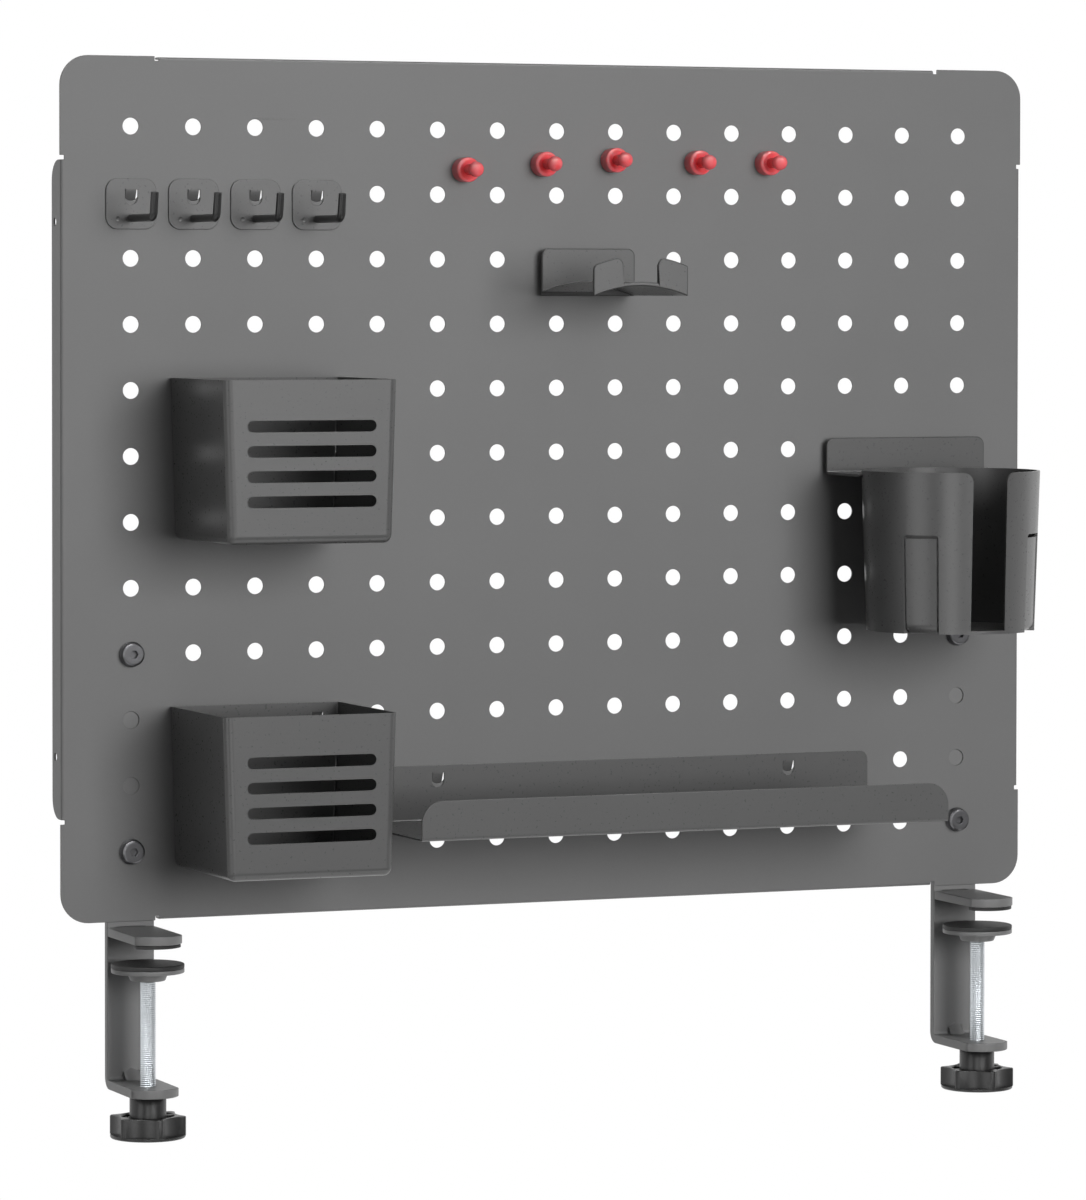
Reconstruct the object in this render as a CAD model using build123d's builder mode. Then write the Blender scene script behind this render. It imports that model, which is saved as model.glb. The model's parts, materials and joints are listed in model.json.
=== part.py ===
from build123d import *
import os
from math import cos, radians, sin, sqrt, tan

# A clamp-on desk pegboard with its hanging accessories, in millimetres.
# X runs to the right as the user sees the board, +Y points behind it and +Z is up.
# Z = 0 is the desk top, Y = 0 is the desk's rear edge, where the panel's rear face stands.

# Peg grid
peg_pitch = 40.0
peg_columns = 15
peg_rows = 12
peg_hole_dia = 10.2

# Folded steel panel
panel_thickness = 1.2
side_margin = 45.0
end_margin = 42.5
panel_corner_radius = 18.0
flange_depth = 18.0
flange_inset = 0.6
flange_bend_radius = 0.6
flange_end_radius = 12.5
relief_width = 2.6
relief_run_in = 0.4
flange_hole_dia = 4.8
flange_hole_setback = 11.6
flange_hole_spacing = 324.0

# Strip steel clamp: bracket, upper jaw and its rubber pad
strip_width = 30.0
strip_thickness = 5.5
strip_bend_radius = 2.0
strip_corner_radius = 5.0
bracket_flange_gap = 3.0
bracket_top_row = 8
bracket_top_rise = 16.0
clamp_depth = 85.2
jaw_reach = 51.5
lip_reach = 45.0
nose_rise = 8.5
jaw_panel_gap = 3.3
jaw_tab_width = 18.0
jaw_tab_clearance = 0.1
jaw_pad_thickness = 2.2
jaw_pad_inset = 0.8
jaw_pad_side = 4.5
gusset_size = 6.8
gusset_width = 10.0
gusset_taper = 12.0
gusset_root = 1.0

# Flanged socket screws that hold the panel on the brackets
bolt_dia = 6.0
bolt_clearance = 0.05
bolt_flange_dia = 15.5
bolt_flange_height = 1.5
bolt_head_dia = 14.4
bolt_head_height = 5.8
bolt_head_rounding = 1.8
bolt_socket_flats = 4.5
bolt_socket_depth = 3.0
bolt_end_length = 1.5

# Clamp screw, pressure disc and hand knob
screw_setback = 31.8
rod_dia = 9.6
rod_clearance = 0.05
rod_end_chamfer = 0.8
disc_gap = 11.2
disc_dia = 44.2
disc_rubber_thickness = 2.7
disc_steel_thickness = 2.7
hub_top_dia = 25.0
hub_bottom_dia = 21.0
hub_height = 4.9
hub_socket_depth = 5.8
rod_end_gap = 0.3
knob_gap = 0.3
collar_dia = 22.2
collar_height = 12.1
knob_dia = 46.4
knob_height = 13.3
knob_lobes = 6
knob_groove_radius = 3.4
knob_groove_inset = 1.2
knob_lobe_rounding = 1.8
knob_edge_rounding = 1.2
knob_rim_width = 3.2
knob_recess_depth = 5.0
knob_rib_width = 2.4
knob_floor = 3.4

# Lanced tongue that hangs an accessory in a peg hole
accessory_sheet = 1.2
tongue_width = 7.0
tongue_angle = 24.0
tongue_seat = 0.15
tongue_reach = 4.0
window_width = 7.9
window_drop = 7.3

# Single hooks
hook_row = 1
hook_columns = (0, 1, 2, 3)
hook_plate_width = 32.3
hook_plate_height = 30.8
hook_plate_rise = 8.4
hook_plate_radius = 7.4
hook_rod_dia = 4.2
hook_rod_drop = 15.7
hook_rod_length = 40.0
hook_rod_bend = 4.0
hook_tip_height = 17.0
hook_tip_lean = 10.0
dimple_spread = 8.6
dimple_drop = 16.0
dimple_dia = 2.8
dimple_depth = 0.5

# Slotted baskets
basket_column = 2
basket_rows = (4, 9)
basket_tongue_offset = 1
basket_top_width = 110.0
basket_bottom_width = 104.0
basket_depth = 99.5
basket_height = 98.0
basket_rise = 7.6
basket_corner_radius = 5.0
basket_rear_radius = 2.4
basket_slot_count = 4
basket_slot_length = 82.0
basket_slot_height = 7.0
basket_slot_pitch = 15.0
basket_first_slot = 27.6

# Long tray
tray_column = 8
tray_row = 10
tray_tongue_offset = 3
tray_width = 352.0
tray_depth = 116.0
tray_rise = 6.4
tray_back_height = 35.4
tray_lip_height = 24.2
tray_back_radius = 5.3
tray_lip_radius = 13.7
tray_bend_radius = 1.0

# Hanger clips behind the headset and cup holders
clip_standoff = 5.0
clip_width = 16.0
clip_height = 17.0
clip_rise = 5.5

# Headset holder
headset_column = 7.5
headset_row = 2
headset_clip_offset = 0.5
headset_sheet = 2.6
headset_width = 63.0
headset_plate_height = 29.5
headset_rise = 6.8
headset_plate_radius = 4.5
saddle_depth = 84.0
saddle_crown = 6.3
headset_tab_gap = 23.5
headset_tab_height = 18.5
headset_tab_radius = 4.0

# Cup holder
cup_column = 13
cup_row = 5
cup_clip_offset = 1
cup_axis_setback = 69.6
cup_top_dia = 109.5
cup_bottom_dia = 103.0
cup_wall = 2.0
cup_height = 96.0
cup_drop = 14.7
cup_plate_width = 112.2
cup_plate_rise = 7.0
cup_plate_sheet = 1.6
cup_plate_radius = 5.3
cup_bend_radius = 1.0
cup_shelf_reach = 48.0
cup_shelf_clearance = 0.1
cup_gap_width = 23.0
cup_gap_radius = 6.0
cup_base_thickness = 2.0
finger_angle = 47.0
finger_notch_sweep = 25.0
finger_sweep = 22.0
finger_notch_drop = 38.0
finger_top_gap = 2.2
finger_inset = 0.8
finger_notch_radius = 2.5
finger_bend_radius = 4.0

# Push-pin magnets, placed by hand between the two top rows: across from the centre, below the top row
magnet_places = ((-63.0, 24.6), (-10.3, 20.7), (37.3, 17.8), (94.7, 18.8), (143.6, 18.6))
magnet_base_dia = 15.4
magnet_base_height = 9.9
magnet_rim_radius = 1.6
magnet_dish_depth = 1.0
magnet_neck_dia = 6.6
magnet_tip_dia = 9.4
magnet_length = 26.0
magnet_core_dia = 12.0
magnet_core_thickness = 5.0
magnet_core_clearance = 0.05

# How closely an edge or corner has to match a place to be picked there
match_tolerance = 0.01

# Places worked out from the sizes above
panel_width = (peg_columns - 1) * peg_pitch + 2 * side_margin
panel_height = (peg_rows - 1) * peg_pitch + 2 * end_margin
panel_bottom_z = jaw_pad_thickness + strip_thickness + jaw_panel_gap
panel_centre_z = panel_bottom_z + panel_height / 2
top_row_z = panel_bottom_z + panel_height - end_margin
panel_front_y = -panel_thickness
lip_top_z = -clamp_depth
lip_bottom_z = lip_top_z - strip_thickness
tongue_slope = radians(tongue_angle)
tongue_chord = sqrt((peg_hole_dia / 2) ** 2 - (tongue_width / 2) ** 2)
clamp_sides = (("left", 0), ("right", peg_columns - 1))


def column_x(column):
    return (column - (peg_columns - 1) / 2) * peg_pitch


def row_z(row):
    return top_row_z - row * peg_pitch


def front_plane(x, z, y=panel_front_y):
    """A plane that faces the user, with its own x to the right and y up."""
    return Plane(origin=(x, y, z), x_dir=(1, 0, 0), z_dir=(0, -1, 0))


def side_plane(x, y, z):
    """A plane that faces right, with its own x to the back and y up."""
    return Plane(origin=(x, y, z), x_dir=(0, 1, 0), z_dir=(1, 0, 0))


def save(piece, name):
    piece.label = name
    export_step(piece, f"parts/{name}.step")


def short_edges_at(part, length, axis, place):
    """Sheet-thick edges whose middles lie at one place along an axis."""
    edges = part.edges().filter_by(GeomType.LINE)
    edges = edges.filter_by(lambda edge: abs(edge.length - length) < match_tolerance)
    return edges.filter_by(lambda edge: abs(axis.direction.dot(edge.center()) - place) < match_tolerance)


def edge_across(part, x, y, z):
    """The edge running along X that lies nearest to a place."""
    return part.edges().filter_by(Axis.X).sort_by_distance((x, y, z))[0]


def lance_tongue(x, hole_z):
    """In the open part, cut a window in the sheet and bend its tongue back through a peg hole."""
    seat_z = hole_z - tongue_chord + tongue_seat
    root_run = (panel_thickness + accessory_sheet) / sin(tongue_slope)
    window_top = seat_z + root_run * cos(tongue_slope) - hole_z
    window_height = window_top + window_drop
    tip_centre = tongue_reach - tongue_width / 2
    with BuildSketch(front_plane(x, hole_z + window_top)) as window:
        Rectangle(window_width, window_height - window_width / 2, align=(Align.CENTER, Align.MAX))
        with Locations((0, window_width / 2 - window_height)):
            Circle(window_width / 2)
    extrude(window.sketch, amount=accessory_sheet, mode=Mode.SUBTRACT)
    lower_face = Plane(
        origin=(x, 0, seat_z), x_dir=(1, 0, 0), z_dir=(0, cos(tongue_slope), sin(tongue_slope))
    )
    with BuildSketch(lower_face) as tongue:
        with Locations((0, tip_centre)):
            Rectangle(tongue_width, root_run + tip_centre, align=(Align.CENTER, Align.MAX))
            Circle(tongue_width / 2)
    extrude(tongue.sketch, amount=accessory_sheet)


def strip_plan(x, rear_y, corner_y, half_width, rise):
    """Plan of a strip end seen from above: straight sides and an arched nose."""
    with BuildSketch() as plan:
        with BuildLine():
            ThreePointArc((x - half_width, corner_y), (x, corner_y - rise), (x + half_width, corner_y))
            Polyline(
                (x + half_width, corner_y),
                (x + half_width, rear_y),
                (x - half_width, rear_y),
                (x - half_width, corner_y),
            )
        make_face()
    return plan.sketch


def build_panel():
    bend_outer = flange_bend_radius + panel_thickness
    bend_start = flange_inset + bend_outer + relief_run_in
    flange_setback = side_margin + strip_width / 2 + bracket_flange_gap
    side_flange = panel_height - 2 * flange_setback
    end_flange = panel_width - 2 * flange_setback
    flange_tip_y = panel_front_y + flange_depth
    flanges = (
        (Vector(1, 0, 0), panel_width / 2, side_flange),
        (Vector(-1, 0, 0), panel_width / 2, side_flange),
        (Vector(0, 0, 1), panel_height / 2, end_flange),
        (Vector(0, 0, -1), panel_height / 2, end_flange),
    )
    with BuildPart() as panel:
        # Flat front sheet with its peg holes and the bands that the flanges are bent from
        with BuildSketch(front_plane(0, panel_centre_z, 0)):
            RectangleRounded(panel_width, panel_height, panel_corner_radius)
            with GridLocations(peg_pitch, peg_pitch, peg_columns, peg_rows):
                Circle(peg_hole_dia / 2, mode=Mode.SUBTRACT)
            with GridLocations(panel_width, 1, 2, 1):
                Rectangle(2 * bend_start, side_flange + 2 * relief_width, mode=Mode.SUBTRACT)
            with GridLocations(1, panel_height, 1, 2):
                Rectangle(end_flange + 2 * relief_width, 2 * bend_start, mode=Mode.SUBTRACT)
        extrude(amount=panel_thickness)
        # Flanges bent back along the four edges
        for outward, reach, length in flanges:
            face_at = reach - flange_inset
            bend_plane = Plane(
                origin=(0, 0, panel_centre_z), x_dir=outward, z_dir=outward.cross(Vector(0, 1, 0))
            )
            with BuildSketch(bend_plane) as section:
                with Locations((face_at, panel_front_y)):
                    Rectangle(bend_start - flange_inset, panel_thickness, align=(Align.MAX, Align.MIN))
                    Rectangle(panel_thickness, flange_depth, align=(Align.MAX, Align.MIN))
                fillet(section.vertices().sort_by_distance((face_at, panel_front_y))[0], bend_outer)
                fillet(
                    section.vertices().sort_by_distance((face_at - panel_thickness, 0))[0], flange_bend_radius
                )
            extrude(amount=length / 2, both=True)
        fillet(short_edges_at(panel, panel_thickness, Axis.Y, flange_tip_y), flange_end_radius)
        # Small fixing holes through both side flanges
        with BuildSketch(side_plane(0, panel_front_y + flange_hole_setback, panel_centre_z)):
            with GridLocations(1, flange_hole_spacing, 1, 2):
                Circle(flange_hole_dia / 2)
        extrude(amount=panel_width, both=True, mode=Mode.SUBTRACT)
    save(panel.part, "panel")


def build_bracket(side, x):
    top_z = row_z(bracket_top_row) + bracket_top_rise
    with BuildPart() as bracket:
        # Upright strip behind the panel
        with BuildSketch(front_plane(x, lip_bottom_z, strip_thickness)) as upright:
            Rectangle(strip_width, top_z - lip_bottom_z, align=(Align.CENTER, Align.MIN))
            fillet(upright.vertices().group_by(Axis.Y)[-1], strip_corner_radius)
        extrude(amount=strip_thickness)
        # Lower lip bent forward under the desk
        with BuildSketch(Plane.XY.offset(lip_bottom_z)):
            add(strip_plan(x, strip_thickness, -lip_reach, strip_width / 2, nose_rise))
        extrude(amount=strip_thickness)
        outer_radius = strip_bend_radius + strip_thickness
        fillet(edge_across(bracket, x, strip_thickness, lip_bottom_z), outer_radius)
        fillet(edge_across(bracket, x, 0, lip_top_z), strip_bend_radius)
        # Gusset dart pressed into the inside of the bend
        with BuildSketch(side_plane(x, 0, lip_top_z)):
            with BuildLine():
                Polyline(
                    (gusset_root, -gusset_root),
                    (gusset_root, gusset_size),
                    (0, gusset_size),
                    (-gusset_size, 0),
                    (-gusset_size, -gusset_root),
                    close=True,
                )
            make_face()
        extrude(amount=gusset_width / 2, both=True, taper=gusset_taper)
        # Tapped holes for the bolts and the screw, and the slot for the jaw's tab
        for row in (bracket_top_row, peg_rows - 1):
            with Locations(front_plane(x, row_z(row), 0)):
                Hole(bolt_dia / 2 + bolt_clearance, depth=strip_thickness)
        with Locations(Plane((x, -screw_setback, lip_top_z))):
            Hole(rod_dia / 2 + rod_clearance, depth=strip_thickness)
        with BuildSketch(front_plane(x, jaw_pad_thickness - jaw_tab_clearance, 0)):
            slot_height = strip_thickness + 2 * jaw_tab_clearance
            Rectangle(jaw_tab_width + 2 * jaw_tab_clearance, slot_height, align=(Align.CENTER, Align.MIN))
        extrude(amount=-strip_thickness, mode=Mode.SUBTRACT)
    save(bracket.part, f"{side}_bracket")


def build_upper_jaw(side, x):
    with BuildPart() as jaw:
        with BuildSketch(Plane.XY.offset(jaw_pad_thickness)):
            add(strip_plan(x, 0, -jaw_reach, strip_width / 2, nose_rise))
            with Locations((x, 0)):
                Rectangle(jaw_tab_width, strip_thickness, align=(Align.CENTER, Align.MIN))
        extrude(amount=strip_thickness)
    save(jaw.part, f"{side}_upper_jaw")
    with BuildPart() as pad:
        with BuildSketch():
            half_width = strip_width / 2 - jaw_pad_inset
            add(strip_plan(x, jaw_pad_side - jaw_reach, -jaw_reach, half_width, nose_rise - jaw_pad_inset))
        extrude(amount=jaw_pad_thickness)
    save(pad.part, f"{side}_jaw_pad")


def build_bolts():
    bolts = []
    for side, column in clamp_sides:
        for row in (bracket_top_row, peg_rows - 1):
            axis_plane = front_plane(column_x(column), row_z(row))
            shank = panel_thickness + strip_thickness + bolt_end_length
            with BuildPart() as bolt:
                with BuildSketch(axis_plane):
                    Circle(bolt_flange_dia / 2)
                extrude(amount=bolt_flange_height)
                with BuildSketch(axis_plane):
                    Circle(bolt_head_dia / 2)
                extrude(amount=bolt_head_height)
                fillet(bolt.faces().sort_by(Axis.Y)[0].edges(), bolt_head_rounding)
                with BuildSketch(axis_plane.offset(bolt_head_height)):
                    RegularPolygon(bolt_socket_flats / 2, 6, major_radius=False)
                extrude(amount=-bolt_socket_depth, mode=Mode.SUBTRACT)
                with BuildSketch(axis_plane):
                    Circle(bolt_dia / 2)
                extrude(amount=-shank)
            bolts.append(bolt.part)
    save(Compound(children=bolts), "bracket_bolts")


def build_pressure_disc(side, x):
    rubber_bottom_z = -disc_gap - disc_rubber_thickness
    steel_bottom_z = rubber_bottom_z - disc_steel_thickness
    hub_bottom_z = steel_bottom_z - hub_height
    with BuildPart() as rubber:
        with BuildSketch(Plane((x, -screw_setback, rubber_bottom_z))):
            Circle(disc_dia / 2)
        extrude(amount=disc_rubber_thickness)
    save(rubber.part, f"{side}_disc_rubber")
    with BuildPart() as disc:
        with BuildSketch(Plane((x, -screw_setback, steel_bottom_z))):
            Circle(disc_dia / 2)
        extrude(amount=disc_steel_thickness)
        with BuildSketch(Plane((x, -screw_setback, steel_bottom_z))):
            Circle(hub_top_dia / 2)
        with BuildSketch(Plane((x, -screw_setback, hub_bottom_z))):
            Circle(hub_bottom_dia / 2)
        loft()
        with Locations(Plane((x, -screw_setback, hub_bottom_z), z_dir=(0, 0, -1))):
            Hole(rod_dia / 2 + rod_clearance, depth=hub_socket_depth)
    save(disc.part, f"{side}_pressure_disc")
    return hub_bottom_z + hub_socket_depth - rod_end_gap


def build_screw(side, x, rod_top_z):
    collar_top_z = lip_bottom_z - knob_gap
    knob_top_z = collar_top_z - collar_height
    knob_bottom_z = knob_top_z - knob_height
    rod_bottom_z = knob_bottom_z + knob_floor
    with BuildPart() as rod:
        with BuildSketch(Plane((x, -screw_setback, rod_bottom_z))):
            Circle(rod_dia / 2)
        extrude(amount=rod_top_z - rod_bottom_z)
        chamfer(rod.edges().filter_by(GeomType.CIRCLE), rod_end_chamfer)
    save(rod.part, f"{side}_screw_rod")
    with BuildPart() as knob:
        # Lobed body with grooves between the lobes
        with BuildSketch(Plane((x, -screw_setback, knob_bottom_z))) as lobes:
            Circle(knob_dia / 2)
            with PolarLocations(knob_dia / 2 + knob_groove_radius - knob_groove_inset, knob_lobes):
                Circle(knob_groove_radius, mode=Mode.SUBTRACT)
            fillet(lobes.vertices(), knob_lobe_rounding)
        extrude(amount=knob_height)
        chamfer(knob.faces().sort_by(Axis.Z)[0].edges(), knob_edge_rounding)
        # Recess round the collar, with ribs across it
        recess_floor = Plane((x, -screw_setback, knob_top_z - knob_recess_depth))
        with BuildSketch(recess_floor):
            Circle(knob_dia / 2 - knob_groove_inset - knob_rim_width)
            with PolarLocations(0, knob_lobes // 2):
                Rectangle(knob_dia, knob_rib_width, mode=Mode.SUBTRACT)
        extrude(amount=knob_recess_depth, mode=Mode.SUBTRACT)
        with BuildSketch(recess_floor):
            Circle(collar_dia / 2)
        extrude(amount=collar_top_z - recess_floor.origin.Z)
        with Locations(Plane((x, -screw_setback, collar_top_z))):
            Hole(rod_dia / 2 + rod_clearance, depth=collar_top_z - rod_bottom_z)
    save(knob.part, f"{side}_knob")


def build_hook(number, column):
    x = column_x(column)
    hole_z = row_z(hook_row)
    rod_z = hole_z - hook_rod_drop
    plate_front_y = panel_front_y - accessory_sheet
    dimple_ball = (dimple_dia**2 / 4 + dimple_depth**2) / (2 * dimple_depth)
    with BuildPart() as plate:
        with BuildSketch(front_plane(x, hole_z + hook_plate_rise - hook_plate_height / 2)):
            RectangleRounded(hook_plate_width, hook_plate_height, hook_plate_radius)
        extrude(amount=accessory_sheet)
        lance_tongue(x, hole_z)
        # Two dimples beside the rod
        with Locations(front_plane(x, hole_z - dimple_drop, plate_front_y + dimple_depth - dimple_ball)):
            with GridLocations(2 * dimple_spread, 1, 2, 1):
                Sphere(dimple_ball, mode=Mode.SUBTRACT)
    save(plate.part, f"hook_{number}_plate")
    lean = radians(hook_tip_lean)
    bend_y = plate_front_y - hook_rod_length + hook_rod_dia / 2
    tip_run = hook_tip_height - hook_rod_dia / 2
    with BuildPart() as rod:
        with BuildLine(side_plane(x, 0, 0)):
            FilletPolyline(
                (plate_front_y, rod_z),
                (bend_y, rod_z),
                (bend_y - tip_run * tan(lean), rod_z + tip_run),
                radius=hook_rod_bend,
            )
        with BuildSketch(front_plane(x, rod_z, plate_front_y)):
            Circle(hook_rod_dia / 2)
        sweep()
    save(rod.part, f"hook_{number}_rod")


def basket_form(x, top_z, inset):
    """Solid form of a basket, drawn in by an inset on every side but its top."""
    rear_y = panel_front_y - inset
    bottom_z = top_z - basket_height + inset
    with BuildPart() as form:
        for level, width in ((bottom_z, basket_bottom_width), (top_z, basket_top_width)):
            with BuildSketch(Plane((x, rear_y, level))):
                Rectangle(width - 2 * inset, basket_depth - 2 * inset, align=(Align.CENTER, Align.MAX))
        loft(ruled=True)
        upright = form.edges().filter_by(lambda edge: bottom_z < edge.center().Z < top_z)
        floor = form.edges().group_by(Axis.Z)[0]
        front_corners = upright.group_by(Axis.Y)[0]
        fillet(front_corners + floor.sort_by(Axis.Y)[:-1], basket_corner_radius - inset)
        rounded_z = bottom_z + basket_corner_radius
        rear_edges = form.faces().sort_by(Axis.Y)[-1].edges()
        rear_corners = rear_edges.filter_by(lambda edge: rounded_z < edge.center().Z < top_z)
        fillet(rear_corners, basket_rear_radius - inset)
    return form.part


def build_basket(name, row):
    x = column_x(basket_column)
    top_z = row_z(row) + basket_rise
    front_y = panel_front_y - basket_depth
    outside = basket_form(x, top_z, 0)
    inside = basket_form(x, top_z, accessory_sheet)
    with BuildPart() as basket:
        add(outside)
        add(inside, mode=Mode.SUBTRACT)
        # Horizontal slots in the front
        slots_z = top_z - basket_first_slot - (basket_slot_count - 1) * basket_slot_pitch / 2
        with BuildSketch(front_plane(x, slots_z, front_y)):
            with GridLocations(1, basket_slot_pitch, 1, basket_slot_count):
                SlotOverall(basket_slot_length, basket_slot_height)
        extrude(amount=-2 * accessory_sheet, mode=Mode.SUBTRACT)
        for direction in (-1, 1):
            lance_tongue(column_x(basket_column + direction * basket_tongue_offset), row_z(row))
    save(basket.part, name)


def build_tray():
    x = column_x(tray_column)
    top_z = row_z(tray_row) + tray_rise
    bottom_z = top_z - tray_back_height
    front_y = panel_front_y - tray_depth
    with BuildPart() as tray:
        # One bent section: back, floor and front lip
        with BuildSketch(side_plane(x, 0, bottom_z)) as section:
            with Locations((panel_front_y, 0)):
                Rectangle(tray_depth, accessory_sheet, align=(Align.MAX, Align.MIN))
                Rectangle(accessory_sheet, tray_back_height, align=(Align.MAX, Align.MIN))
            with Locations((front_y, 0)):
                Rectangle(accessory_sheet, tray_lip_height, align=(Align.MIN, Align.MIN))
            fillet(section.vertices().group_by(Axis.Y)[0], tray_bend_radius + accessory_sheet)
            fillet(section.vertices().group_by(Axis.Y)[1], tray_bend_radius)
        extrude(amount=tray_width / 2, both=True)
        fillet(short_edges_at(tray, accessory_sheet, Axis.Z, top_z), tray_back_radius)
        fillet(short_edges_at(tray, accessory_sheet, Axis.Z, bottom_z + tray_lip_height), tray_lip_radius)
        for direction in (-1, 1):
            lance_tongue(column_x(tray_column + direction * tray_tongue_offset), row_z(tray_row))
    save(tray.part, "tray")


def build_hanger_clips(name, columns, row):
    clips = []
    for column in columns:
        x = column_x(column)
        middle_z = row_z(row) + clip_rise - clip_height / 2
        with BuildPart() as clip:
            with BuildSketch(front_plane(x, middle_z)):
                Rectangle(clip_width, clip_height)
            extrude(amount=clip_standoff)
            with BuildSketch(front_plane(x, middle_z, panel_front_y - accessory_sheet)):
                Rectangle(clip_width - 2 * accessory_sheet, clip_height)
            extrude(amount=clip_standoff, mode=Mode.SUBTRACT)
            lance_tongue(x, row_z(row))
        clips.append(clip.part)
    save(Compound(children=clips), name)


def arched_band(half_width, low, high):
    """In the open sketch, the area between two heights of the headset saddle's arch."""
    with BuildLine() as outline:
        under = ThreePointArc((-half_width, low), (0, low + saddle_crown), (half_width, low))
        over = ThreePointArc((-half_width, high), (0, high + saddle_crown), (half_width, high))
        Line(under @ 0, over @ 0)
        Line(under @ 1, over @ 1)
    make_face(outline.edges())


def build_headset_holder():
    x = column_x(headset_column)
    top_z = row_z(headset_row) + headset_rise
    bottom_z = top_z - headset_plate_height
    plate_rear_y = panel_front_y - clip_standoff
    tab_front_y = plate_rear_y - saddle_depth
    half_width = headset_width / 2
    with BuildPart() as holder:
        with BuildSketch(front_plane(x, bottom_z, plate_rear_y)) as plate:
            Rectangle(headset_width, headset_plate_height, align=(Align.CENTER, Align.MIN))
            fillet(plate.vertices().group_by(Axis.Y)[-1], headset_plate_radius)
        extrude(amount=headset_sheet)
        # Arched saddle, from the plate to the tabs
        with BuildSketch(front_plane(x, bottom_z, plate_rear_y)):
            arched_band(half_width, 0, headset_sheet)
        extrude(amount=saddle_depth)
        # Two front tabs that follow the arch
        with BuildSketch(front_plane(x, bottom_z, tab_front_y)) as tabs:
            arched_band(half_width, 0, headset_tab_height)
            Rectangle(headset_tab_gap, 4 * headset_tab_height, mode=Mode.SUBTRACT)
            corners = tabs.vertices()
            fillet(corners.filter_by(lambda corner: corner.Y >= headset_tab_height), headset_tab_radius)
        extrude(amount=-headset_sheet)
    save(holder.part, "headset_holder")
    columns = (headset_column - headset_clip_offset, headset_column + headset_clip_offset)
    build_hanger_clips("headset_hanger_clips", columns, headset_row)


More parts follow.
